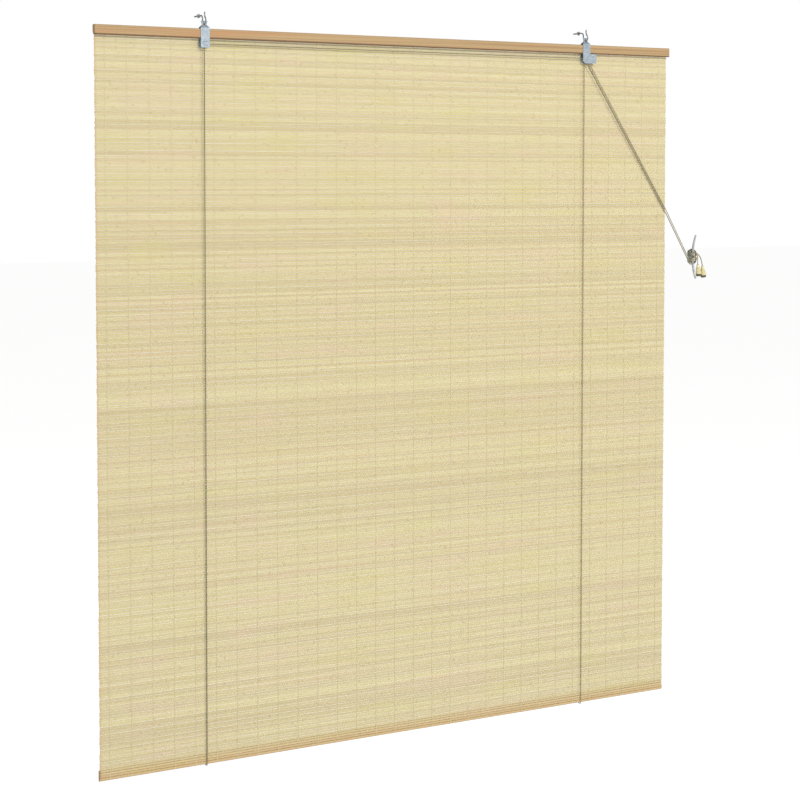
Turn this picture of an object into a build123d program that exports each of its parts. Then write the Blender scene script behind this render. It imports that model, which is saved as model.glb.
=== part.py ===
from build123d import *
import math
import os

# Bamboo roll-up blind hung from two screw hooks, with a cord lock and a wall cleat.
# Millimetres. X runs along the blind, right as seen from the room, Y into the wall, Z up.
# The origin is midway between the two hook screws, on the wall face, at the height of their shanks.

# --- Overall sizes -------------------------------------------------------------------------
blind_width = 1500.0        # length of the head rail
blind_drop = 1600.0         # from the rail's top edge to the bottom batten's lower edge
bracket_inset = 250.0       # from each end of the head rail to the middle of a bracket
wall_gap = 24.0             # from the wall to the front of the bamboo fabric
hang_height = 29.0          # from the rail's top edge up to the hook shanks

# --- Head rail and battens -----------------------------------------------------------------
rail_height = 21.0
rail_depth = 10.0
rail_edge = 1.2             # rounding of the rail's long edges
back_batten_height = 17.0
back_batten_depth = 5.0
bottom_batten_height = 22.0
bottom_batten_depth = 5.2
batten_edge = 0.8
nail_count = 12
nail_shank_radius = 0.6
nail_head_radius = 1.8
nail_head_height = 0.8
nail_length = 13.0

# --- Bamboo fabric -------------------------------------------------------------------------
fabric_inset = 1.5          # how far the slats stop short of each end of the rail
slat_pitch_wanted = 5.43
slat_gap = 0.43
slat_depth = 1.4
strand_pitch = 50.0
strand_width = 1.6
strand_depth = 0.4
last_slat_lift = 2.0        # the last slat's lower edge above the bottom batten's

# --- Brackets ------------------------------------------------------------------------------
sheet = 1.2
plate_width = 21.0
plate_rise = 2.4            # straight part of the plates above the rail's top
plate_drop = 40.5           # from the rail's top to the plates' lower edge
plate_corner = 3.0
neck_width = 11.0
neck_height = 9.0           # above the rail's top
head_width = 16.0
head_height = 16.6
hook_hole_radius = 2.3
rivet_drop = 27.5
rivet_radius = 1.5
rivet_head_radius = 3.2
rivet_head_height = 1.3

# --- Wheels, their axles and the lock ------------------------------------------------------
cord_diameter = 2.2
groove_radius = 2.3         # at the bottom of a wheel's groove
groove_play = 0.1           # between the groove's bottom and the cord
groove_floor_share = 0.7    # flat of the groove, in cord radii each side
rim_share = 1 / 3           # of a wheel's side, left as its rim
wheel_arc_slack = 0.05      # the cord's bend is that much tighter than its run
flange_radius = 4.2
wheel_drop = 36.0           # axle of the left wheel and the lock's front wheel below the rail's top
axle_radius = 1.2
axle_fit = 0.05
axle_head_radius = 2.1
axle_head_height = 0.7
side_gap = 0.3              # between a wheel and what is beside it
front_wheel_offset = -7.0   # the lock's wheels and cam pivot, from the bracket's middle
rear_wheel_offset = 2.0
rear_wheel_drop = 33.7
cam_pivot_offset = 18.0
cam_pivot_drop = 27.0
cam_boss_radius = 4.0
cam_tip_radius = 2.0
cam_droop = math.radians(5)         # the front step leans down, clear of the rear axle
lobe_reach = 28.5           # right edge of the lock's lobe from the bracket's middle
lobe_top = 21.6
lobe_bottom = 44.0
lobe_corner = 5.0

# --- Hooks ---------------------------------------------------------------------------------
hook_wire = 3.0
hook_ring_radius = 8.5      # centreline
hook_bend_radius = 8.0
hook_thread_length = 20.0
hook_collar_radius = 4.5
hook_collar_height = 1.6
hook_closing = math.radians(50)     # how far the ring closes above its room side
hook_tip_run = 2.2
hook_tip_rise = 11.5

# --- Cord anchors --------------------------------------------------------------------------
eye_wire = 1.4
eye_ring_radius = 2.8
eye_drop = 9.5
eye_stem = 2.4
knot_radius = 2.6

# --- Cleat and cord winding ----------------------------------------------------------------
cleat_beside = 94.0         # its middle from the end of the head rail
cleat_drop = 516.0          # below the rail's top
cleat_length = 110.0
horn_radius = 3.0
horn_tip_radius = 2.2
horn_stand = 13.0           # horn centre from the wall, in the middle
horn_flare = 12.0           # how much further out the tips are
cleat_base_length = 34.0
cleat_base_width = 13.0
cleat_base_depth = 3.0
cleat_post_radius = 4.2
cleat_screw_spacing = 22.0
cleat_screw_radius = 2.1
winding_half_width = 11.0
winding_half_height = 20.0
winding_front = 19.5        # from the wall
winding_back = 6.5
winding_corner = 9.0
winding_edge = 4.0
front_cord_inset = 1.5      # where each cord enters the winding, from its left side
front_cord_drop = 16.0      # and below the cleat's middle
rear_cord_inset = 4.5
rear_cord_drop = 14.0
edge_arc = 60.0             # gentle bend of the lift cords at the fabric's edge

# --- Tassels -------------------------------------------------------------------------------
tassel_height = 29.0
tassel_foot_radius = 7.2
tassel_neck_radius = 3.0
tassel_lean = 8.0           # degrees from plumb, feet to the right
tassel_collar_share = 0.08  # of the height, from the top down
tassel_belly_share = 0.45
tassel_belly_width = 0.82   # of the foot's radius
tassel_foot_share = 0.88
tail_arc = 7.0
# Route of each tail and tassel neck: X from the cleat's middle, depth, Z from its middle.
first_tail_run = ((9.0, -14.0, 9.0), (17.5, -17.5, 4.0), (22.0, -22.0, -9.0), (23.7, -22.8, -23.0))
second_tail_run = ((4.0, -16.5, 5.0), (6.0, -22.3, -2.5), (8.5, -23.2, -19.5))

# --- Places worked out from those sizes ----------------------------------------------------
rail_top = -hang_height
fabric_front = -wall_gap
rail_front = fabric_front - rail_depth
rail_bottom = rail_top - rail_height
blind_bottom = rail_top - blind_drop
slat_front = fabric_front + strand_depth
slat_back = slat_front + slat_depth
fabric_back = slat_back + strand_depth
fabric_bottom = blind_bottom + last_slat_lift
fabric_width = blind_width - 2 * fabric_inset
slat_count = round((rail_top - fabric_bottom) / slat_pitch_wanted)
slat_pitch = (rail_top - fabric_bottom) / slat_count
cord_radius = cord_diameter / 2
cord_gap = 0.3
side = blind_width / 2 - bracket_inset
wheel_run = groove_radius + groove_play + cord_radius   # from an axle to the middle of its cord
cavity_front = rail_front                       # inner faces of the bracket's two plates
cavity_back = fabric_front - sheet
cavity_middle = (cavity_front + cavity_back) / 2
single_wheel_width = 5.0
lock_wheel_width = (cavity_back - cavity_front - 3 * side_gap) / 2
front_plane = cavity_front + side_gap + lock_wheel_width / 2
rear_plane = cavity_back - side_gap - lock_wheel_width / 2
wheel_z = rail_top - wheel_drop
rear_wheel_z = rail_top - rear_wheel_drop
cleat_x = blind_width / 2 + cleat_beside
cleat_z = rail_top - cleat_drop

os.makedirs("parts", exist_ok=True)


def save(node, *solids):
    """Writes one node: one solid, or a group of like ones."""
    shape = solids[0] if len(solids) == 1 else Compound(children=list(solids))
    export_step(shape, f"parts/{node}.step")


def block(x0, x1, y0, y1, z0, z1):
    """A box between two corners."""
    middle = Location(((x0 + x1) / 2, (y0 + y1) / 2, (z0 + z1) / 2))
    return middle * Box(x1 - x0, y1 - y0, z1 - z0)


def rod(x, y0, y1, z, radius):
    """A round bar along Y."""
    return Pos(x, (y0 + y1) / 2, z) * Rot(90, 0, 0) * Cylinder(radius, y1 - y0)


def tube(points, radii, diameter):
    """A round cord or wire: straight runs joined by tangent arcs."""
    path = FilletPolyline(*points, radius=radii) if radii else Line(*points)
    start = Plane(origin=path @ 0, z_dir=path % 0)
    shape = sweep(start * Circle(diameter / 2), path=path)
    share = shape.volume / (math.pi * diameter ** 2 / 4 * path.length)
    print(f"  {path.length:8.1f} mm long, radii {radii}, volume share {share:.4f}")
    return shape


# --- Head rail, battens and nails ----------------------------------------------------------
rail = block(-blind_width / 2, blind_width / 2, rail_front, fabric_front, rail_bottom, rail_top)
rail = fillet(rail.edges().filter_by(Axis.X), rail_edge)
for x in (-side, side):
    rail -= block(x - plate_width / 2, x + plate_width / 2, cavity_back, fabric_front,
                  rail_bottom - 1, rail_top + 1)
save("head_rail", rail)

back_batten = block(-blind_width / 2 + fabric_inset, blind_width / 2 - fabric_inset,
                    fabric_back, fabric_back + back_batten_depth,
                    rail_top - back_batten_height, rail_top)
save("back_batten", chamfer(back_batten.edges().filter_by(Axis.X), batten_edge))

bottom_batten = block(-fabric_width / 2, fabric_width / 2, fabric_back,
                      fabric_back + bottom_batten_depth,
                      blind_bottom, blind_bottom + bottom_batten_height)
round_edge = bottom_batten_depth / 2 - 0.01
batten_lower_edges = bottom_batten.edges().filter_by(Axis.X).group_by(Axis.Z)[0]
bottom_batten = fillet(batten_lower_edges, round_edge)
save("bottom_batten", bottom_batten)

nails = []
nail_step = fabric_width / nail_count
batten_face = fabric_back + back_batten_depth
for number in range(nail_count):
    x = -fabric_width / 2 + (number + 0.5) * nail_step
    z = rail_top - back_batten_height / 2
    shank = rod(x, batten_face - nail_length, batten_face, z, nail_shank_radius)
    head = rod(x, batten_face, batten_face + nail_head_height, z, nail_head_radius)
    nails.append((shank + head).solid())
save("batten_nails", *nails)

# --- Bamboo slats and the threads that bind them -------------------------------------------
slats = []
for number in range(slat_count):
    low = rail_top - (number + 1) * slat_pitch
    slats.append(block(-fabric_width / 2, fabric_width / 2, slat_front, slat_back,
                       low, low + slat_pitch - slat_gap))
save("bamboo_slats", *slats)

strand_count = int(fabric_width // strand_pitch) + 1
first_strand = -(strand_count - 1) * strand_pitch / 2
strand_xs = [first_strand + number * strand_pitch for number in range(strand_count)]
for node, y0, top in (("front_threads", fabric_front, rail_bottom),
                      ("back_threads", slat_back, rail_top - back_batten_height)):
    strands = []
    for x in strand_xs:
        strands.append(block(x - strand_width / 2, x + strand_width / 2, y0, y0 + strand_depth,
                             fabric_bottom, top))
    save(node, *strands)


# --- Brackets ------------------------------------------------------------------------------
def folded_strip():
    """Side section of a bracket: one strip folded double at the top, its two legs
    spread over the rail, drawn in the Y-Z plane."""
    tab_front = cavity_middle - sheet
    tab_back = cavity_middle + sheet
    front_face = cavity_front - sheet
    foot = rail_top - lobe_bottom
    shoulder = rail_top + plate_rise
    root = rail_top + neck_height - sheet
    top = rail_top + head_height
    outer = Polyline((front_face, foot), (front_face, shoulder), (tab_front, root),
                     (tab_front, top), (tab_back, top), (tab_back, root),
                     (fabric_front, shoulder), (fabric_front, foot), close=True)
    inner = Polyline((cavity_front, foot - 1), (cavity_front, shoulder - sheet / 2),
                     (cavity_middle, root - sheet), (cavity_back, shoulder - sheet / 2),
                     (cavity_back, foot - 1), close=True)
    section = Plane.YZ * (make_face(outer) - make_face(inner))
    return extrude(section, amount=2 * lobe_reach, both=True)


def front_outline(with_lobe):
    """A bracket seen from the room: head, neck, shoulders and plate, about X = 0."""
    half, neck, head = plate_width / 2, neck_width / 2, head_width / 2
    shoulder = rail_top + plate_rise
    waist = rail_top + neck_height
    top = rail_top + head_height
    low = rail_top - plate_drop
    shape = make_face(Polyline((-half, low), (-half, shoulder), (-neck, waist - 1),
                               (-neck, waist + 1), (-head, top), (head, top),
                               (neck, waist + 1), (neck, waist - 1), (half, shoulder),
                               (half, low), close=True))
    shape = fillet(shape.vertices().group_by(Axis.Y)[0], plate_corner)
    if with_lobe:
        lobe_low, lobe_high = rail_top - lobe_bottom, rail_top - lobe_top
        lobe_left = -half + plate_corner
        lobe = Pos((lobe_left + lobe_reach) / 2, (lobe_low + lobe_high) / 2) * RectangleRounded(
            lobe_reach - lobe_left, lobe_high - lobe_low, lobe_corner)
        shape += lobe
    return shape


def bracket(x, with_lobe, holes):
    """Cuts the folded strip to its outline and drills it; holes are (x, z, radius)."""
    outline = extrude(Plane.XZ * front_outline(with_lobe), amount=wall_gap + 4 * rail_depth)
    shape = folded_strip() & outline
    hook_hole_z = ring_bottom + hook_wire / 2 + cord_gap - hook_hole_radius
    shape -= rod(0, rail_front - rail_depth, 0, hook_hole_z, hook_hole_radius)
    for hole_x, hole_z, radius in holes:
        shape -= rod(hole_x, rail_front - rail_depth, 0, hole_z, radius)
    return (Pos(x, 0, 0) * shape).solid()


def plain_rivet(x, z, radius, head_radius, head_height):
    """A rivet across both plates: round head in front, set flush with the back plate."""
    shank = rod(x, cavity_front - sheet, cavity_back + sheet, z, radius)
    dome = Pos(x, cavity_front - sheet, z) * Rot(90, 0, 0) * Cylinder(
        head_radius, head_height, align=(Align.CENTER, Align.CENTER, Align.MIN))
    return (shank + fillet(dome.edges().group_by(Axis.Y)[0], head_height * 0.8)).solid()


ring_bottom = rail_top + neck_height - 0.5      # centreline of the hook's ring, lowest point
left_wheel_x = -side + wheel_run
front_wheel_x = side + front_wheel_offset
rear_wheel_x = side + rear_wheel_offset
cam_x = side + cam_pivot_offset
cam_z = rail_top - cam_pivot_drop
left_holes = [(0, rail_top - rivet_drop, rivet_radius), (wheel_run, wheel_z, axle_radius)]
lock_holes = [(front_wheel_offset, wheel_z, axle_radius),
              (rear_wheel_offset, rear_wheel_z, axle_radius),
              (cam_pivot_offset, cam_z, rivet_radius)]
save("left_bracket", bracket(-side, False, left_holes))
save("lock_bracket", bracket(side, True, lock_holes))
save("left_bracket_rivet", plain_rivet(-side, rail_top - rivet_drop, rivet_radius,
                                       rivet_head_radius, rivet_head_height))
for node, x, z in (("left_wheel_axle", left_wheel_x, wheel_z),
                   ("lock_front_axle", front_wheel_x, wheel_z),
                   ("lock_rear_axle", rear_wheel_x, rear_wheel_z)):
    save(node, plain_rivet(x, z, axle_radius, axle_head_radius, axle_head_height))
save("cam_pivot", plain_rivet(cam_x, cam_z, rivet_radius, rivet_head_radius, rivet_head_height))


def wheel(x, y, z, width):
    """A grooved wheel on a Y axle."""
    half = width / 2
    rim = rim_share * (half - cord_radius)
    floor = groove_floor_share * cord_radius
    bore = axle_radius + axle_fit
    profile = make_face(Polyline((bore, -half), (flange_radius, -half),
                                 (flange_radius, rim - half), (groove_radius, -floor),
                                 (groove_radius, floor), (flange_radius, half - rim),
                                 (flange_radius, half), (bore, half), close=True))
    turned = revolve(profile, axis=Axis.Y)
    return (Pos(x, y, z) * turned).solid()


save("left_wheel", wheel(left_wheel_x, cavity_middle, wheel_z, single_wheel_width))
save("lock_front_wheel", wheel(front_wheel_x, front_plane, wheel_z, lock_wheel_width))
save("lock_rear_wheel", wheel(rear_wheel_x, rear_plane, rear_wheel_z, lock_wheel_width))


# --- Where the cords go: points given as X, depth and height --------------------------------
under_z = blind_bottom - cord_radius - cord_gap
behind_y = fabric_back + bottom_batten_depth + cord_radius + cord_gap
before_y = fabric_front - cord_radius - cord_gap
round_under = round_edge + cord_radius + cord_gap
edge_x = blind_width / 2                        # where the two cords pass the fabric's edge
edge_y = fabric_front - cord_radius - 2 * cord_gap
wheel_arc = wheel_run - wheel_arc_slack


def way_down(wheel_x, wheel_at_z, end_x, end_z):
    """Angle of the cord that leaves a wheel's upper right side for a point below it."""
    far = math.hypot(end_x - wheel_x, end_z - wheel_at_z)
    return math.atan2(end_z - wheel_at_z, end_x - wheel_x) - math.asin(wheel_run / far)


def over_wheel(wheel_x, wheel_at_z, plane_y, way):
    """Corner of the route above a wheel, where a level cord turns down towards the cleat."""
    return (wheel_x - wheel_run * math.tan(way / 2), plane_y, wheel_at_z + wheel_run)


def at_edge(corner, way):
    """The same straight line where it passes the fabric's edge."""
    return (edge_x, edge_y, corner[2] + (edge_x - corner[0]) * math.tan(way))


winding_left = cleat_x - winding_half_width
front_end = (winding_left + front_cord_inset, -horn_stand, cleat_z - front_cord_drop)
rear_end = (winding_left + rear_cord_inset, -horn_stand, cleat_z - rear_cord_drop)
front_way = way_down(front_wheel_x, wheel_z, front_end[0], front_end[2])
rear_way = way_down(rear_wheel_x, rear_wheel_z, rear_end[0], rear_end[2])

# --- Cord cam: one step bears on each cord ---------------------------------------------------
cam_angle = rear_way + 1.5 * math.pi            # direction from the pivot to the cords


def cam_step(wheel_x, wheel_at_z, droop, y0, y1):
    """An arm from the pivot boss to a rounded tip beside the cord of one wheel."""
    across = (wheel_x - cam_x) * math.cos(cam_angle) + (wheel_at_z - cam_z) * math.sin(cam_angle)
    reach = across - wheel_run - cord_radius - cord_gap - cam_tip_radius
    angle = cam_angle + droop
    tip_far = reach / math.cos(droop)
    tip = Pos(tip_far * math.cos(angle), tip_far * math.sin(angle))
    arm = make_hull((Circle(cam_boss_radius) + tip * Circle(cam_tip_radius)).edges())
    return Pos(cam_x, y1, cam_z) * extrude(Plane.XZ * arm, amount=y1 - y0)


boss_front = cavity_front + side_gap
boss_back = cavity_back - side_gap
cam = rod(cam_x, boss_front, boss_back, cam_z, cam_boss_radius)
cam += cam_step(front_wheel_x, wheel_z, cam_droop, boss_front, cavity_middle - side_gap)
cam += cam_step(rear_wheel_x, rear_wheel_z, 0, cavity_middle + side_gap, boss_back)
cam -= rod(cam_x, cavity_front, cavity_back, cam_z, rivet_radius + axle_fit)
save("cord_cam", cam.solid())


# --- Screw hooks ---------------------------------------------------------------------------
def screw_hook(x):
    """A question-mark hook: shank, drop, ring round the bracket's head, turned-up tip."""
    wall_side = cavity_middle + hook_ring_radius
    room_side = cavity_middle - hook_ring_radius
    ring_z = ring_bottom + hook_ring_radius
    close_y = cavity_middle - hook_ring_radius * math.cos(hook_closing)
    close_z = ring_z + hook_ring_radius * math.sin(hook_closing)
    shank = Line((x, hook_thread_length, 0), (x, wall_side + hook_bend_radius, 0))
    bend = TangentArc(shank @ 1, (x, wall_side, -hook_bend_radius), tangent=(0, -1, 0))
    drop = Line(bend @ 1, (x, wall_side, ring_z))
    ring = TangentArc(drop @ 1, (x, room_side, ring_z), tangent=(0, 0, -1))
    closing = TangentArc(ring @ 1, (x, close_y, close_z), tangent=(0, 0, 1))
    tip = TangentArc(closing @ 1, (x, close_y + hook_tip_run, close_z + hook_tip_rise),
                     tangent=closing % 1)
    path = Wire([shank, bend, drop, ring, closing, tip])
    start = Plane(origin=path @ 0, z_dir=path % 0)
    bar = sweep(start * Circle(hook_wire / 2), path=path)
    collar = rod(x, -hook_collar_height, 0, 0, hook_collar_radius)
    end = Pos(*(tip @ 1)) * Sphere(hook_wire / 2)
    return (bar + collar + end).solid()


save("left_hook", screw_hook(-side))
save("right_hook", screw_hook(side))

# --- Screw eyes on the back batten, which hold the cords' fixed ends -----------------------
eye_z = rail_top - eye_drop
eye_y = batten_face + eye_stem + eye_ring_radius
knot_z = eye_z - eye_ring_radius - eye_wire / 2 - knot_radius - cord_gap
for node, x in (("left_cord_eye", -side), ("right_cord_eye", side)):
    ring = Pos(x, eye_y, eye_z) * Rot(0, 90, 0) * Torus(eye_ring_radius, eye_wire / 2)
    stem = rod(x, batten_face, eye_y - eye_ring_radius, eye_z, eye_wire / 2)
    save(node, (ring + stem).solid())


# --- Lift cords: up and over the wheels, down to the cleat -----------------------------------
def under_the_blind(x):
    """From the knot down the back and under the bottom batten; the cord then rises in front."""
    return [(x, eye_y, knot_z), (x, behind_y, under_z), (x, before_y, under_z)]


front_corner = over_wheel(front_wheel_x, wheel_z, front_plane, front_way)
left_route = under_the_blind(-side) + [
    (-side, cavity_middle, wheel_z + wheel_run), front_corner,
    at_edge(front_corner, front_way), front_end]
rear_corner = over_wheel(rear_wheel_x, rear_wheel_z, rear_plane, rear_way)
right_x = rear_wheel_x - wheel_run
right_route = under_the_blind(right_x) + [
    (right_x, rear_plane, rear_wheel_z + wheel_run), rear_corner,
    at_edge(rear_corner, rear_way), rear_end]
cord_arcs = [round_under, round_under, wheel_arc, wheel_arc, edge_arc]
for node, route in (("left_lift_cord", left_route), ("right_lift_cord", right_route)):
    knot = Pos(*route[0]) * Sphere(knot_radius)
    save(node, (tube(route, cord_arcs, cord_diameter) + knot).solid())


# --- Wall cleat ----------------------------------------------------------------------------
def horn_path():
    """The cleat's bar: one gentle arc whose tips stand further from the wall."""
    half = cleat_length / 2 - horn_tip_radius
    tip_y = -horn_stand - horn_flare
    return ThreePointArc((cleat_x, tip_y, cleat_z - half), (cleat_x, -horn_stand, cleat_z),
                         (cleat_x, tip_y, cleat_z + half))


def horn_bar(middle_radius, tip_radius):
    """The bar along that path, thickest in the middle."""
    path = horn_path()
    sections = []
    for share, radius in ((0, tip_radius), (0.5, middle_radius), (1, tip_radius)):
        sections.append(Plane(origin=path @ share, z_dir=path % share) * Circle(radius))
    return sweep(sections, path=path, multisection=True)


cleat = horn_bar(horn_radius, horn_tip_radius)
for share in (0, 1):
    cleat += Pos(*(horn_path() @ share)) * Sphere(horn_tip_radius)
base = extrude(Plane.XZ * RectangleRounded(cleat_base_width, cleat_base_length,
                                           cleat_base_width / 2 - 0.1), amount=cleat_base_depth)
cleat += Pos(cleat_x, 0, cleat_z) * base
cleat += rod(cleat_x, -horn_stand, 0, cleat_z, cleat_post_radius)
for z in (cleat_z - cleat_screw_spacing / 2, cleat_z + cleat_screw_spacing / 2):
    cleat -= rod(cleat_x, -cleat_base_depth - 1, 1, z, cleat_screw_radius)
save("wall_cleat", cleat.solid())

winding = extrude(Plane.XZ * RectangleRounded(2 * winding_half_width, 2 * winding_half_height,
                                              winding_corner),
                  amount=winding_front - winding_back)
winding = fillet(winding.edges().filter_by(GeomType.LINE, reverse=True), winding_edge)
winding = Pos(cleat_x, -winding_back, cleat_z) * winding
winding -= horn_bar(horn_radius + cord_gap, horn_radius + cord_gap)
winding -= rod(cleat_x, -horn_stand, 0, cleat_z, cleat_post_radius + cord_gap)
save("cord_winding", winding.solid())


# --- Tassels on short tails ----------------------------------------------------------------
def tassel():
    """A turned wooden bell, neck at its origin and foot below."""
    neck, foot, tall = tassel_neck_radius, tassel_foot_radius, tassel_height
    collar_z = -tassel_collar_share * tall
    belly_z = -tassel_belly_share * tall
    foot_z = -tassel_foot_share * tall
    outline = Polyline((0, 0), (neck, 0), (neck, collar_z))
    flank = Spline((neck, collar_z), (tassel_belly_width * foot, belly_z), (foot, foot_z))
    floor = Polyline((foot, foot_z), (tassel_foot_share * foot, -tall), (0, -tall), (0, 0))
    turned = make_face(Wire([*outline.edges(), *flank.edges(), *floor.edges()]))
    return revolve(Plane.XZ * turned, axis=Axis.Z).solid()


def from_cleat(run):
    """Those points in the row frame."""
    return [(cleat_x + x, y, cleat_z + z) for x, y, z in run]


for number, run in ((1, first_tail_run), (2, second_tail_run)):
    route = from_cleat(run)
    hung = Pos(*route[-1]) * Rot(0, -tassel_lean, 0) * tassel()
    save(f"tassel_{number}", hung)
    arcs = [tail_arc] * (len(route) - 2)
    save(f"tassel_tail_{number}", tube(route, arcs, cord_diameter))
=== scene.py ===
import math
import random

import bpy
from mathutils import Matrix, Vector


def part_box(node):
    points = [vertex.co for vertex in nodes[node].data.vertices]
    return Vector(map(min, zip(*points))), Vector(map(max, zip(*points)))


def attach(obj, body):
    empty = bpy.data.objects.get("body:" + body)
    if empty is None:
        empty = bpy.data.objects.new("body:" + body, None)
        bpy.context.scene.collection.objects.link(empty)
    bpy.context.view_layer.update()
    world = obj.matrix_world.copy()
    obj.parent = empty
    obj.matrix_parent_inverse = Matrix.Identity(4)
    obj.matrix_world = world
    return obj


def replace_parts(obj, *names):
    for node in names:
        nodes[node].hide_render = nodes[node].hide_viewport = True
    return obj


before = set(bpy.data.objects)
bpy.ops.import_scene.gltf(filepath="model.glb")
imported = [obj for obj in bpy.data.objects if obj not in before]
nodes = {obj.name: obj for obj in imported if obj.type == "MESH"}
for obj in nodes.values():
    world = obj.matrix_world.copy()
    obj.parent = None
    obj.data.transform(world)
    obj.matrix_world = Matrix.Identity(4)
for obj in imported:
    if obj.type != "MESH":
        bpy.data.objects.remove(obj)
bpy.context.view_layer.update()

# --- The room it hangs in -------------------------------------------------------------------
# A white room with a pale floor well below the blind. It is seen from the left, from a little
# below the head rail, and the main lamp stands high in front of it.
rail_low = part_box("head_rail")[0]
slats_low, slats_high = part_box("bamboo_slats")
camera = bpy.data.objects.new("camera", bpy.data.cameras.new("camera"))
bpy.context.collection.objects.link(camera)
camera.data.sensor_width = 36.0
camera.data.lens = 87.187
camera.data.shift_y = -0.15
camera.location = (-2.2345, -3.8462, -0.3528)
camera.rotation_euler = (math.radians(90 - 2.952), 0, math.radians(-30.179))
bpy.context.scene.camera = camera


def soft_lamp(name, place, size, watts, tint):
    """A square lamp that faces the middle of the blind."""
    lamp = bpy.data.objects.new(name, bpy.data.lights.new(name, "AREA"))
    lamp.data.size = size
    lamp.data.energy = watts
    lamp.data.color = tint
    lamp.location = place
    aim = (slats_low + slats_high) / 2 - Vector(place)
    lamp.rotation_euler = aim.to_track_quat("-Z", "Y").to_euler()
    bpy.context.collection.objects.link(lamp)


soft_lamp("studio_lamp", (0.9, -6.1, 3.0), 0.8, 230, (1.0, 0.99, 0.97))
soft_lamp("window_lamp", (2.9, -3.6, 2.6), 0.5, 30, (1.0, 1.0, 1.0))
soft_lamp("ceiling_lamp", (-1.2, -2.6, 3.0), 2.4, 20, (0.96, 0.98, 1.0))
world = bpy.data.worlds.new("white_room")
world.use_nodes = True
backdrop = world.node_tree.nodes["Background"]
backdrop.inputs["Color"].default_value = (1, 1, 1, 1)
path = world.node_tree.nodes.new("ShaderNodeLightPath")
strength = world.node_tree.nodes.new("ShaderNodeMapRange")
strength.inputs["To Min"].default_value = 0.34
world.node_tree.links.new(path.outputs["Is Camera Ray"], strength.inputs["Value"])
world.node_tree.links.new(strength.outputs["Result"], backdrop.inputs["Strength"])
bpy.context.scene.world = world
bpy.context.scene.view_settings.view_transform = "Standard"


# --- Lift cords -----------------------------------------------------------------------------
# Two braided cotton cords of 2.2 mm. Each is one length: it is tied to an eye behind the head
# rail, goes down the back, under the bottom batten and up the front, over its wheel and down to
# the cleat, then round the cleat in figures of eight, and ends in its tassel.
class Shade:
    """A value, colour or place in a material. Plain arithmetic adds its Math nodes."""

    def __init__(self, tree, socket=None):
        self.tree = tree
        self.socket = socket

    def node(self, kind, settings=(), inputs=(), output=0):
        """Adds any node, from its type, its settings and its sockets' values or links."""
        made = self.tree.nodes.new(kind)
        for key, value in dict(settings).items():
            setattr(made, key, value)
        for key, value in dict(inputs).items():
            if isinstance(value, Shade):
                self.tree.links.new(value.socket, made.inputs[key])
            else:
                made.inputs[key].default_value = value
        return Shade(self.tree, made.outputs[output])

    def maths(self, operation, *others):
        sockets = dict(enumerate((self, *others)))
        return self.node("ShaderNodeMath", {"operation": operation}, sockets)

    def __add__(self, other):
        return self.maths("ADD", other)

    def __sub__(self, other):
        return self.maths("SUBTRACT", other)

    def __rsub__(self, other):
        return self.maths("MULTIPLY", -1.0).maths("ADD", other)

    def __mul__(self, other):
        return self.maths("MULTIPLY", other)

    __radd__ = __add__
    __rmul__ = __mul__


def tint(code):
    """The linear colour of a six-digit colour code."""
    parts = [int(code[at:at + 2], 16) / 255 for at in (0, 2, 4)]
    return (*[((part + 0.055) / 1.055) ** 2.4 for part in parts], 1.0)


def finish(name, **sockets):
    """A new material with these even values, and the start of its nodes."""
    material = bpy.data.materials.new(name)
    material.use_nodes = True
    shader = material.node_tree.nodes["Principled BSDF"]
    for socket, value in sockets.items():
        shader.inputs[socket.replace("_", " ")].default_value = value
    return material, Shade(material.node_tree)


def position(start, stretch=(1, 1, 1), turn=(0, 0, 0)):
    """The place on the piece, scaled or turned first."""
    place = start.node("ShaderNodeTexCoord", output="Object")
    return start.node("ShaderNodeMapping", {}, {0: place, "Rotation": turn, "Scale": stretch})


def noise(start, place, scale, detail=3.0, roughness=0.55):
    sockets = {"Vector": place, "Scale": scale, "Detail": detail, "Roughness": roughness}
    return start.node("ShaderNodeTexNoise", {}, sockets)


def ease(value, low, high, start=0.0, end=1.0):
    """A smooth step from start to end while the value goes from low to high."""
    sockets = {0: value, 1: low, 2: high, 3: start, 4: end}
    return value.node("ShaderNodeMapRange", {"interpolation_type": "SMOOTHSTEP"}, sockets)


def blend_tints(factor, one, other):
    """Two colours mixed by a factor."""
    return factor.node("ShaderNodeMix", {"data_type": "RGBA"}, {0: factor, 6: one, 7: other}, 2)


def wear(material, colour=None, roughness=None, relief=None, depth=0.0002, strength=0.5):
    """Joins the varying colour, roughness and relief to the material's shader."""
    shader = material.node_tree.nodes["Principled BSDF"]
    links = material.node_tree.links
    if colour:
        links.new(colour.socket, shader.inputs["Base Color"])
    if roughness:
        links.new(roughness.socket, shader.inputs["Roughness"])
    if relief:
        sockets = {"Height": relief, "Distance": depth, "Strength": strength}
        bump = relief.node("ShaderNodeBump", {}, sockets)
        links.new(bump.socket, shader.inputs["Normal"])
    return material


def dress(piece, material):
    """Gives a piece its material."""
    piece.data.materials.clear()
    piece.data.materials.append(material)
    return piece


def new_piece(name, places, faces, smooth=True):
    """A mesh piece on the still part of the blind."""
    mesh = bpy.data.meshes.new(name)
    mesh.from_pydata(places, [], faces)
    mesh.polygons.foreach_set("use_smooth", [smooth] * len(faces))
    piece = bpy.data.objects.new(name, mesh)
    bpy.context.collection.objects.link(piece)
    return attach(piece, "blind")


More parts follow.
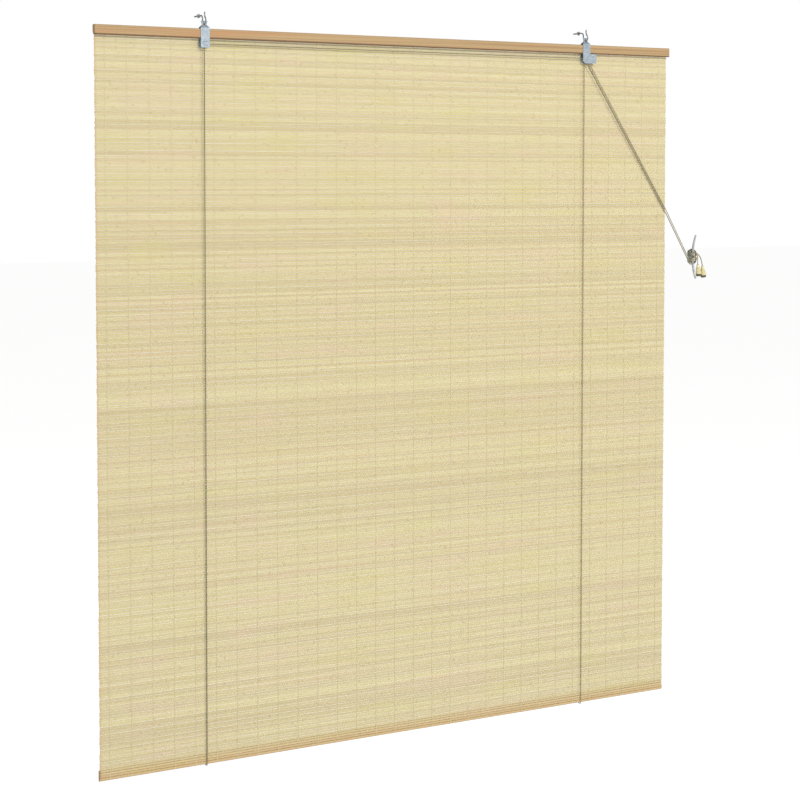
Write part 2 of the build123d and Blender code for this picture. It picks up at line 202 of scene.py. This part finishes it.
def smooth_line(name, points):
    """The soft line that a cord takes past its points."""
    curve = bpy.data.curves.new(name, "CURVE")
    curve.dimensions = "3D"
    curve.resolution_u = 8
    spline = curve.splines.new("NURBS")
    spline.points.add(len(points) - 1)
    for point, place in zip(spline.points, points):
        point.co = (*place, 1.0)
    spline.order_u = 3
    spline.use_endpoint_u = True
    holder = bpy.data.objects.new(name, curve)
    bpy.context.collection.objects.link(holder)
    bpy.context.view_layer.update()
    shown = holder.evaluated_get(bpy.context.evaluated_depsgraph_get())
    mesh = bpy.data.meshes.new_from_object(shown)
    line = [vertex.co.copy() for vertex in mesh.vertices]
    bpy.data.meshes.remove(mesh)
    bpy.data.objects.remove(holder)
    return line


def round_cord(name, line, radius, sides=10):
    """A tube along a line. Its UV is metres along the cord, and turns round it."""
    places, faces, runs = [], [], [0.0]
    ahead = (line[1] - line[0]).normalized()
    side = ahead.orthogonal().normalized()
    for index, centre in enumerate(line):
        before = line[max(index - 1, 0)]
        after = line[min(index + 1, len(line) - 1)]
        turned = (after - before).normalized()
        side = ahead.rotation_difference(turned) @ side
        ahead = turned
        for corner in range(sides):
            spin = Matrix.Rotation(2 * math.pi * corner / sides, 3, ahead)
            places.append(centre + radius * (spin @ side))
        if index:
            runs.append(runs[-1] + (centre - line[index - 1]).length)
            first = len(places) - 2 * sides
            for corner in range(sides):
                following = (corner + 1) % sides
                faces.append((first + corner, first + following,
                              first + sides + following, first + sides + corner))
    faces.append(tuple(reversed(range(sides))))
    faces.append(tuple(range(len(places) - sides, len(places))))
    piece = new_piece(name, places, faces)
    layer = piece.data.uv_layers.new(name="lay")
    for face in piece.data.polygons[:-2]:
        corner = face.vertices[0] % sides
        ring = face.vertices[0] // sides
        shares = ((ring, corner), (ring, corner + 1), (ring + 1, corner + 1), (ring + 1, corner))
        for loop, (at, around) in zip(face.loop_indices, shares):
            layer.data[loop].uv = (runs[at], around / sides)
    return piece


def braid(name, light, dark, pitch=0.0030):
    """Cotton plaited round: two sets of strands that cross, dull, with soiled valleys."""
    material, start = finish(name, Roughness=0.9, Sheen_Weight=0.25, Sheen_Roughness=0.6)
    lay = start.node("ShaderNodeUVMap", {"uv_map": "lay"})
    along = start.node("ShaderNodeSeparateXYZ", {}, {0: lay})
    around = Shade(along.tree, along.socket.node.outputs[1])
    turn = 2 * math.pi
    right = (along * (turn / pitch) + around * (2 * turn)).maths("SINE")
    left = (along * (turn / pitch) - around * (2 * turn)).maths("SINE")
    strands = right.maths("MAXIMUM", left) * 0.5 + 0.5
    soil = noise(start, position(start), 90.0)
    colour = blend_tints(ease(strands, 0.3, 0.95), tint(dark), tint(light))
    colour = blend_tints(ease(soil, 0.45, 0.75, 0.0, 0.35), colour, tint(dark))
    return wear(material, colour, relief=strands, depth=0.0003, strength=0.55)


cord_radius = 0.0011
knot_cord_radius = 0.00105      # pulled tight, so a little thinner
knot_steps = 12                 # points in one turn round the cord
cleat_low, cleat_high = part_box("wall_cleat")
cleat_middle = Vector(((cleat_low.x + cleat_high.x) / 2, -0.013, (cleat_low.z + cleat_high.z) / 2))


def figures_of_eight(height, width, first_layer, turns=2.75, steps=16):
    """Turns round the cleat's two horns, behind each horn and crossed in front of the bar."""
    places = []
    behind = -0.0086
    for step in range(round(turns * steps) + 1):
        angle = math.pi / 4 + 2 * math.pi * step / steps
        done = step / steps
        in_front = -0.0178 - 0.0009 * (first_layer + 2 * done)
        tall = height - 0.0021 * done
        slip = 0.0012 * math.sin(4.3 * done + first_layer)
        middle = (behind + in_front) / 2
        places.append((cleat_middle.x - width * math.sin(2 * angle),
                       middle - (middle - in_front) * math.cos(2 * angle),
                       cleat_middle.z + slip - tall * math.sin(angle)))
    return places[1:]


left_points = [
    (-0.500, -0.0116, -0.0449), (-0.500, -0.0118, -0.0580),
    (-0.500, -0.0152, -1.6170), (-0.500, -0.0152, -1.6304), (-0.500, -0.0203, -1.6312),
    (-0.500, -0.0254, -1.6304), (-0.500, -0.0256, -1.6170),
    (-0.500, -0.0296, -0.0720), (-0.500, -0.0296, -0.0615), (-0.4895, -0.0296, -0.0615),
    (0.4830, -0.0317, -0.0615), (0.4948, -0.0317, -0.0615), (0.5022, -0.0316, -0.0724),
    (0.7428, -0.0259, -0.4260), (0.7500, -0.0257, -0.4367), (0.7575, -0.0246, -0.4477),
    (0.8305, -0.0136, -0.5551), (0.8345, -0.0130, -0.5610)]
left_points += figures_of_eight(0.0200, 0.0098, 0)
left_points += [(0.8615, -0.0175, -0.5410), (0.8660, -0.0220, -0.5540),
                (0.8677, -0.0228, -0.5680)]
right_points = [
    (0.4985, -0.0116, -0.0449), (0.4985, -0.0118, -0.0580),
    (0.4985, -0.0152, -1.6170), (0.4985, -0.0152, -1.6304), (0.4985, -0.0203, -1.6312),
    (0.4985, -0.0254, -1.6304), (0.4985, -0.0255, -1.6170),
    (0.4985, -0.0275, -0.0680), (0.4985, -0.0275, -0.0592), (0.5039, -0.0275, -0.0592),
    (0.5100, -0.0274, -0.0684), (0.7428, -0.0258, -0.4170), (0.7500, -0.0257, -0.4279),
    (0.7575, -0.0246, -0.4391), (0.8335, -0.0136, -0.5530), (0.8375, -0.0130, -0.5590)]
right_points += figures_of_eight(0.0148, 0.0084, 5.5)
right_points += [(0.8500, -0.0262, -0.5420), (0.8508, -0.0255, -0.5490),
                 (0.8525, -0.0232, -0.5645)]

dark_cotton = braid("dark_olive_cotton", "827a5c", "716949")
pale_cotton = braid("pale_olive_cotton", "a59b74", "8d8361")
for name, cotton, points, side_x, length, stood_for, tassel in (
        ("left_cord", dark_cotton, left_points, -0.500, 5.08,
         ("left_lift_cord", "cord_winding", "tassel_tail_1"), "tassel_1"),
        ("right_cord", pale_cotton, right_points, 0.4985, 4.04,
         ("right_lift_cord", "cord_winding", "tassel_tail_2"), "tassel_2")):
    line = smooth_line(name + "_line", points)
    piece = round_cord(name, line, cord_radius)
    dress(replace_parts(piece, *stood_for), cotton)
    # The knot that ties it to its eye: a loop through the ring and two turns round the cord.
    loop = [(side_x - 0.0010, -0.0116, -0.0475), (side_x - 0.0016, -0.0116, -0.0440),
            (side_x - 0.0021, -0.0116, -0.0405), (side_x - 0.0012, -0.0116, -0.0375),
            (side_x + 0.0012, -0.0116, -0.0375), (side_x + 0.0021, -0.0116, -0.0405),
            (side_x + 0.0016, -0.0116, -0.0440)]
    for step in range(2 * knot_steps + 1):
        angle = 2 * math.pi * step / knot_steps
        loop.append((side_x + 0.0021 * math.cos(angle), -0.0116 + 0.0021 * math.sin(angle),
                     -0.0445 - 0.0022 * step / knot_steps))
    knot = round_cord(name + "_knot", smooth_line(name + "_loop", loop), knot_cord_radius)
    dress(knot, cotton)


# --- Bamboo slats ---------------------------------------------------------------------------
# Thin split canes, each 5 mm high, with their glossy skin to the room. They are never quite
# straight, their cane's joints come every 25 to 40 cm, and each has its own tone.
random.seed(11)
slat_depth = 0.0014
slat_count = 294
slat_top = slats_high.z
slat_pitch = (slats_high.z - slats_low.z) / slat_count
slat_gap = 0.00033
joint_half = 0.004              # half the length of a cane's joint
slat_ends = (slats_low.x, slats_high.x)
slat_front = -0.0236
segments = 40


def slat_outline(half_height, half_depth):
    """Section of a split cane: flat back, softly rounded skin in front."""
    return ((0.62 * half_height, half_depth), (-0.62 * half_height, half_depth),
            (-half_height, 0.25 * half_depth), (-0.62 * half_height, -half_depth),
            (0.62 * half_height, -half_depth), (half_height, 0.25 * half_depth))


def slat_bundle(name, first, last):
    """The slats from first to last, top to bottom, with a tone for each."""
    places, faces, tones, shares = [], [], [], []
    for index in range(first, last):
        middle_z = slat_top - (index + 0.5) * slat_pitch
        half_height = (slat_pitch - slat_gap) / 2
        tone = random.random()
        hue = random.random()
        bow = random.uniform(-1, 1)
        joints = []
        joint = slat_ends[0] + random.uniform(0.02, 0.35)
        while joint < slat_ends[1] - 0.02:
            joints.append(joint)
            joint += random.uniform(0.24, 0.42)
        phase = random.uniform(0, 6.28)
        start = slat_ends[0] + random.uniform(0, 0.0015)
        end = slat_ends[1] - random.uniform(0, 0.0015)
        stations = [(start + (end - start) * at / segments, 0.0) for at in range(segments + 1)]
        for joint in joints:
            stations = [at for at in stations if abs(at[0] - joint) > 1.5 * joint_half]
            stations += [(joint - joint_half, 0.0), (joint, 1.0), (joint + joint_half, 0.0)]
        for at, (x, at_joint) in enumerate(sorted(stations)):
            thin = 1 - 0.020 * (0.5 + 0.5 * math.sin(9 * x + phase)) + 0.03 * at_joint
            lift = 0.00009 * math.sin(4.1 * x + phase) + 0.00006 * bow
            lean = 0.00010 * math.sin(6.3 * x + 2 * phase)
            deep = slat_depth / 2 - 0.00008
            middle_y = slat_front + slat_depth / 2
            for up, out in slat_outline(half_height * thin, deep):
                places.append((x, middle_y + out + lean * 0.5, middle_z + up + lift))
                tones.append((tone, hue, at_joint, 1.0))
            if at:
                ring = len(places) - 12
                for corner in range(6):
                    following = (corner + 1) % 6
                    faces.append((ring + corner, ring + 6 + corner,
                                  ring + 6 + following, ring + following))
        ring = len(places) - 6
        faces.append(tuple(ring + corner for corner in range(6)))
        ring = len(places) - 6 * len(stations)
        faces.append(tuple(ring + 5 - corner for corner in range(6)))
    piece = new_piece(name, places, faces, smooth=False)
    layer = piece.data.color_attributes.new("cane", "FLOAT_COLOR", "POINT")
    layer.data.foreach_set("color", [part for value in tones for part in value])
    return piece


def cane(name):
    """Split bamboo: straw coloured, with short pink and green-yellow streaks along the fibre."""
    material, start = finish(name, Roughness=0.42, Specular_IOR_Level=0.4)
    own = start.node("ShaderNodeAttribute", {"attribute_name": "cane"})
    tone = start.node("ShaderNodeSeparateColor", {}, {0: own})
    hue = Shade(tone.tree, tone.socket.node.outputs[1])
    joint = Shade(tone.tree, tone.socket.node.outputs[2])
    lengthwise = position(start, (1.6, 1, 190))
    streak = noise(start, lengthwise, 3.0, 4.0, 0.6)
    fibre = noise(start, position(start, (14, 1, 2600)), 1.0, 2.0)
    patch = noise(start, position(start, (3.2, 1, 184)), 1.0, 2.0)
    colour = blend_tints(tone, tint("c3b58b"), tint("d2c799"))
    colour = blend_tints(ease(hue, 0.75, 1.0, 0.0, 0.22), colour, tint("cbb08b"))
    colour = blend_tints(ease(patch, 0.52, 0.74, 0.0, 0.36), colour, tint("d0b596"))
    colour = blend_tints(ease(streak, 0.52, 0.72, 0.0, 0.42), colour, tint("c3b971"))
    batch = noise(start, position(start, (4.2, 1, 24)), 1.0, 1.0)
    colour = blend_tints(ease(batch, 0.56, 0.7, 0.0, 0.26), colour, tint("c9bf78"))
    colour = blend_tints(ease(batch, 0.44, 0.32, 0.0, 0.26), colour, tint("d3b79d"))
    colour = blend_tints(ease(fibre, 0.42, 0.75, 0.0, 0.22), colour, tint("a3895a"))
    colour = blend_tints(joint * 0.22, colour, tint("94774a"))
    across = start.node("ShaderNodeSeparateXYZ", {}, {0: position(start)})
    height = Shade(across.tree, across.socket.node.outputs[2])
    colour = blend_tints(ease(height, -1.595, -1.625, 0.0, 0.4), colour, tint("c2925e"))
    colour = blend_tints(ease(across, -0.741, -0.748, 0.0, 0.45), colour, tint("c2925e"))
    return wear(material, colour, ease(fibre, 0.3, 0.8, 0.34, 0.62), fibre, 0.00025, 0.45)


bamboo = cane("split_bamboo")
upper = slat_bundle("bamboo_slats_upper", 0, slat_count // 2)
lower = slat_bundle("bamboo_slats_lower", slat_count // 2, slat_count)
for half in (upper, lower):
    dress(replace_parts(half, "bamboo_slats"), bamboo)


# --- Lacing ---------------------------------------------------------------------------------
# Thirty rows of pale cotton lace the canes together. In each row one thread runs in front and
# one behind, and they cross in every gap, so each cane shows a short slanting stitch.
random.seed(23)
row_pitch = 0.050
row_count = 30
thread_width = 0.0016
thread_depth = 0.0004


def stitches(name, face_y, out, lean):
    """One stitch over each cane in each row; out is -1 on the room's side."""
    places, faces = [], []
    for row in range(row_count):
        row_x = (row - (row_count - 1) / 2) * row_pitch
        for index in range(slat_count):
            top = slat_top - index * slat_pitch + 0.00012
            wander = random.uniform(-0.00025, 0.00025)
            swell = random.uniform(0.85, 1.1)
            for share, raised, wide in ((0.0, 0.0, 0.62), (0.28, 1.0, 1.0),
                                        (0.68, 1.0, 1.0), (1.0, 0.0, 0.62)):
                x = row_x + wander + lean * (share - 0.5)
                z = top - share * (slat_pitch - 0.00004)
                y = face_y + out * thread_depth * (raised - 0.35)
                half = thread_width * wide * swell / 2
                places += [(x - half, y, z), (x, y + out * 0.00018, z), (x + half, y, z)]
            ring = len(places) - 12
            for step in (0, 3, 6):
                for side in (0, 1):
                    corner = ring + step + side
                    face = (corner, corner + 3, corner + 4, corner + 1)
                    faces.append(face if out < 0 else face[::-1])
    return new_piece(name, places, faces)


def lacing_cotton(name):
    """Pale twisted thread with slanting plies."""
    material, start = finish(name, Roughness=0.85, Sheen_Weight=0.2)
    plies = start.node("ShaderNodeTexWave", {"bands_direction": "DIAGONAL"},
                       {0: position(start, (1, 0.2, 1)), "Scale": 420.0, "Distortion": 1.0})
    ply = Shade(plies.tree, plies.socket.node.outputs[1])
    spread = noise(start, position(start), 60.0)
    colour = blend_tints(ease(ply, 0.1, 0.8), tint("bfb084"), tint("dbd0a6"))
    colour = blend_tints(ease(spread, 0.5, 0.75, 0.0, 0.4), colour, tint("cdbd8e"))
    return wear(material, colour, relief=ply, depth=0.00015, strength=0.6)


lace = lacing_cotton("lacing_cotton")
front_lacing = stitches("front_lacing", slat_front, -1, 0.0009)
back_lacing = stitches("back_lacing", slat_front + slat_depth, 1, -0.0009)
dress(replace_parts(front_lacing, "front_threads"), lace)
dress(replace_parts(back_lacing, "back_threads"), lace)


# --- Head rail and battens ------------------------------------------------------------------
# A planed pine rail carries the whole blind. A thin batten behind it clamps the top canes and
# holds the cord eyes, and another stiffens the bottom edge. All are pale oiled pine.
shade_band_top = 0.0034             # the painted shade band fades out at this height over the lower edge
shade_band_full = 0.0014            # and is at its darkest below this one


def under(start):
    """Painted shade on the head rail's lower edge, darkest at the bottom, standing in for the
    shadow line under the rail.
    """
    height = start.node("ShaderNodeSeparateXYZ", {}, {0: position(start)}, 2)
    return ease(height, rail_low.z + shade_band_top, rail_low.z + shade_band_full, 0.0, 0.85)


def pine(name, pale, dark, knot, painted_shade=False):
    """Planed pine: long grain lines, a few warmer streaks and small pores."""
    material, start = finish(name, Roughness=0.55, Specular_IOR_Level=0.35)
    wander = noise(start, position(start, (1.3, 6, 14)), 1.0, 2.0)
    offset = wander.node("ShaderNodeVectorMath", {"operation": "SCALE"},
                         {0: (0.0, 0.004, 0.012), "Scale": wander})
    place = start.node("ShaderNodeTexCoord", output="Object")
    bent = place.node("ShaderNodeVectorMath", {"operation": "ADD"}, {0: place, 1: offset})
    lines = bent.node("ShaderNodeMapping", {}, {0: bent, "Scale": (1.2, 160, 330)})
    grain = noise(start, lines, 1.0, 3.0, 0.6)
    pores = noise(start, position(start, (60, 900, 1800)), 1.0, 2.0)
    warm = noise(start, position(start, (2.6, 20, 90)), 1.0, 2.0)
    colour = blend_tints(ease(grain, 0.38, 0.66), tint(pale), tint(dark))
    colour = blend_tints(ease(warm, 0.52, 0.72, 0.0, 0.65), colour, tint(knot))
    colour = blend_tints(ease(pores, 0.6, 0.8, 0.0, 0.35), colour, tint("7d5a34"))
    if painted_shade:
        # Painted shade: the rail's lower edge is darkened towards the bottom, in place of the
        # shadow under it.
        colour = blend_tints(under(start), colour, tint("5d4129"))
    relief = grain * 0.7 + pores * 0.3
    return wear(material, colour, ease(grain, 0.3, 0.7, 0.48, 0.66), relief, 0.0003, 0.4)


rail_pine = pine("rail_pine", "b5996f", "9d7f5b", "b7855c", painted_shade=True)
batten_pine = pine("batten_pine", "b3956c", "97744c", "a67347")
dress(nodes["head_rail"], rail_pine)
dress(nodes["back_batten"], batten_pine)
dress(nodes["bottom_batten"], batten_pine)


# --- Steel fittings -------------------------------------------------------------------------
# The two brackets are cut and folded from galvanised sheet, and the cord cam is plated to
# match. Rivets, axles and screw eyes are bright steel, and the nails are duller.
def worn_steel(name, pale, dark, metallic, rough, spangle, relief=0.0001):
    """Plated steel with cloudy crystals, fine scratches and dull stains."""
    material, start = finish(name, Metallic=metallic, Roughness=rough)
    place = position(start)
    crystals = start.node("ShaderNodeTexVoronoi", {}, {0: place, "Scale": spangle}, 1)
    crystal = start.node("ShaderNodeSeparateColor", {}, {0: crystals})
    cloud = noise(start, place, 130.0, 3.0)
    scratch = noise(start, position(start, (1400, 300, 90), (0.0, 0.5, 0.3)), 1.0, 2.0)
    colour = blend_tints(crystal, tint(dark), tint(pale))
    colour = blend_tints(ease(cloud, 0.5, 0.75, 0.0, 0.5), colour, tint(dark))
    dull = ease(cloud, 0.3, 0.7, rough - 0.08, rough + 0.14) + scratch * 0.08
    return wear(material, colour, dull, scratch, relief, 0.35)


galvanised = worn_steel("galvanised_sheet", "b6c1c9", "97a4ae", 0.6, 0.4, 420.0)
bright_steel = worn_steel("bright_steel", "dfe6ea", "a4adb3", 0.95, 0.22, 900.0)
nail_steel = worn_steel("nail_steel", "a9abae", "6b6d70", 0.9, 0.4, 900.0)
dress(nodes["left_bracket"], galvanised)
dress(nodes["lock_bracket"], galvanised)
dress(nodes["cord_cam"], galvanised)
for name in ("left_bracket_rivet", "left_wheel_axle", "lock_front_axle", "lock_rear_axle",
             "cam_pivot", "left_cord_eye", "right_cord_eye"):
    dress(nodes[name], bright_steel)
dress(nodes["batten_nails"], nail_steel)


# --- Screw hooks ----------------------------------------------------------------------------
# Each hook is 3 mm wire with a thread cut on the end that goes into the wall, and a collar
# that stops it. Its plating is duller than the rivets.
hook_plating = worn_steel("hook_plating", "b4b6b8", "74767a", 0.9, 0.36, 700.0)


hook_spread = 0.5               # each hook's distance from the blind's middle
thread_start = 0.0022           # from the wall's face
thread_pitch = 0.0015
thread_radius = 0.00145
thread_ridge = 0.00034


def hook_thread(name, x):
    """The thread's ridge, wound round the part of the hook inside the wall."""
    line = []
    turns, steps = 11, 14
    for step in range(turns * steps + 1):
        angle = 2 * math.pi * step / steps
        y = thread_start + thread_pitch * step / steps
        line.append(Vector((x + thread_radius * math.cos(angle), y,
                            thread_radius * math.sin(angle))))
    return round_cord(name, line, thread_ridge, 5)


for side, x in (("left", -hook_spread), ("right", hook_spread)):
    dress(nodes[side + "_hook"], hook_plating)
    dress(hook_thread(side + "_hook_thread", x), hook_plating)


# --- Wheels ---------------------------------------------------------------------------------
# Moulded grey-brown plastic wheels with a groove for the cord, turning on steel axles.
def moulded(name, body, worn):
    """Plastic with a faint skin texture, rubbed paler in patches."""
    material, start = finish(name, Roughness=0.45, Specular_IOR_Level=0.5)
    grainy = noise(start, position(start), 900.0, 2.0)
    rubbed = noise(start, position(start), 220.0, 3.0)
    colour = blend_tints(ease(rubbed, 0.45, 0.7, 0.0, 0.6), tint(body), tint(worn))
    return wear(material, colour, ease(grainy, 0.3, 0.7, 0.38, 0.55), grainy, 0.0001, 0.3)


wheel_plastic = moulded("wheel_plastic", "6c655a", "8f887b")
for name in ("left_wheel", "lock_front_wheel", "lock_rear_wheel"):
    dress(nodes[name], wheel_plastic)


# --- Wall cleat -----------------------------------------------------------------------------
# Cast metal, plated, with two horns that lean out from the wall. Its foot has two screw holes.
cleat_plating = worn_steel("cleat_plating", "b9bbbc", "9fa1a3", 0.45, 0.36, 500.0, 0.0002)
dress(nodes["wall_cleat"], cleat_plating)


# --- Tassels --------------------------------------------------------------------------------
# Turned wooden bells, clear lacquered, with painted shade as a dark rim round the foot.
def turned_wood(name, foot_low, foot_high):
    """Pale lacquered wood with upright grain; the foot is darkened with painted shade."""
    material, start = finish(name, Roughness=0.3, Coat_Weight=0.4, Coat_Roughness=0.15)
    grain = noise(start, position(start, (700, 700, 60)), 1.0, 3.0)
    height = start.node("ShaderNodeSeparateXYZ", {}, {0: position(start)}, 2)
    colour = blend_tints(ease(grain, 0.4, 0.7), tint("ddd4a4"), tint("c3b27a"))
    # Painted shade: a dark olive rim round the foot, where the tassel's underside lies in shadow.
    colour = blend_tints(ease(height, foot_high, foot_low), colour, tint("45421f"))
    return wear(material, colour, ease(grain, 0.3, 0.7, 0.24, 0.4), grain, 0.0001, 0.25)


foot_shade_low, foot_shade_high = 0.005, 0.0075     # where the painted shade of the rim fades, over the tassel's foot
for number in (1, 2):
    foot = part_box("tassel_%d" % number)[0].z
    lacquer = turned_wood("tassel_wood_%d" % number, foot + foot_shade_low, foot + foot_shade_high)
    dress(nodes["tassel_%d" % number], lacquer)


# --- Floor ----------------------------------------------------------------------------------
# A plain pale floor far below the blind.
def plain_floor():
    material, start = finish("pale_floor", Roughness=0.8, Emission_Strength=0.65,
                             Emission_Color=(1, 1, 1, 1))
    fleck = noise(start, position(start), 3.0, 2.0)
    colour = blend_tints(fleck, tint("f6f6f5"), tint("fbfbfa"))
    return wear(material, colour)


floor_z = -2.3
reach = 40
floor_mesh = bpy.data.meshes.new("floor")
floor_mesh.from_pydata([(-reach, -reach, floor_z), (reach, -reach, floor_z),
                        (reach, reach, floor_z), (-reach, reach, floor_z)],
                       [], [(0, 1, 2, 3)])
floor_mesh.materials.append(plain_floor())
floor = bpy.data.objects.new("floor", floor_mesh)
bpy.context.collection.objects.link(floor)
